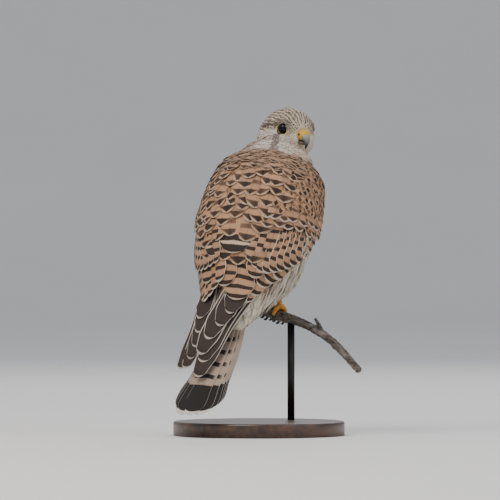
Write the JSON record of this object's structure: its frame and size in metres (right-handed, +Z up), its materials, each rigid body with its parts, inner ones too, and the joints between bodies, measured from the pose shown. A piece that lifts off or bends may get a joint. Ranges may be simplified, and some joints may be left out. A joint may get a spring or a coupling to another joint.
{
  "type": "perched kestrel figure",
  "caption": "Life-size bird of prey, long barred tail and folded wings, seen looking back over its shoulder while it grips a cut branch held by a rod on a round base.",
  "frame": {"origin": "middle of the underside of the round base", "axes": "+Z up, -Y the way the bird's body faces, -X towards the bird's right side"},
  "size_m": [0.16, 0.1692, 0.2761],
  "materials": {
    "plumage_back": "soft dull feathers, tan rufous with blackish bars",
    "plumage_head": "soft dull feathers, grey-buff with fine dark streaks",
    "plumage_wing": "soft dull feathers, rufous with blackish bars and pale tips",
    "flight_feathers": "smooth dull vanes, dark brown with pale edges",
    "plumage_tail": "smooth dull vanes, greyish rufous with dark bars",
    "plumage_belly": "soft dull feathers, cream with brown streaks",
    "cere": "waxy yellow skin",
    "bill": "horn, blue-grey to a black tip, slight gloss",
    "eye": "wet dark brown, high gloss",
    "leg_skin": "scaly orange-yellow skin",
    "claw": "black horn, slight gloss",
    "bark": "rough grey-brown bark",
    "stand_rod": "dark satin",
    "stand_base": "dark stained wood, satin"
  },
  "bodies": {
    "root": {"torso": "plumage_back", "neck": "plumage_head", "head": "plumage_head", "cere": "cere", "bill_upper": "bill", "bill_lower": "bill", "eye_right": "eye", "eye_left": "eye", "wing_right_coverts": "plumage_wing", "wing_right_secondaries": "plumage_wing", "wing_right_primaries": "flight_feathers", "wing_left_coverts": "plumage_wing", "wing_left_secondaries": "plumage_wing", "wing_left_primaries": "flight_feathers", "tail": "plumage_tail", "thigh_right": "plumage_belly", "thigh_left": "plumage_belly", "tarsus_right": "leg_skin", "tarsus_left": "leg_skin", "foot_right": "leg_skin", "foot_left": "leg_skin", "claw_right_1": "claw", "claw_right_2": "claw", "claw_right_3": "claw", "claw_right_4": "claw", "claw_left_1": "claw", "claw_left_2": "claw", "claw_left_3": "claw", "claw_left_4": "claw", "perch_branch": "bark", "stand_rod": "stand_rod", "stand_base": "stand_base"}
  },
  "joints": []
}
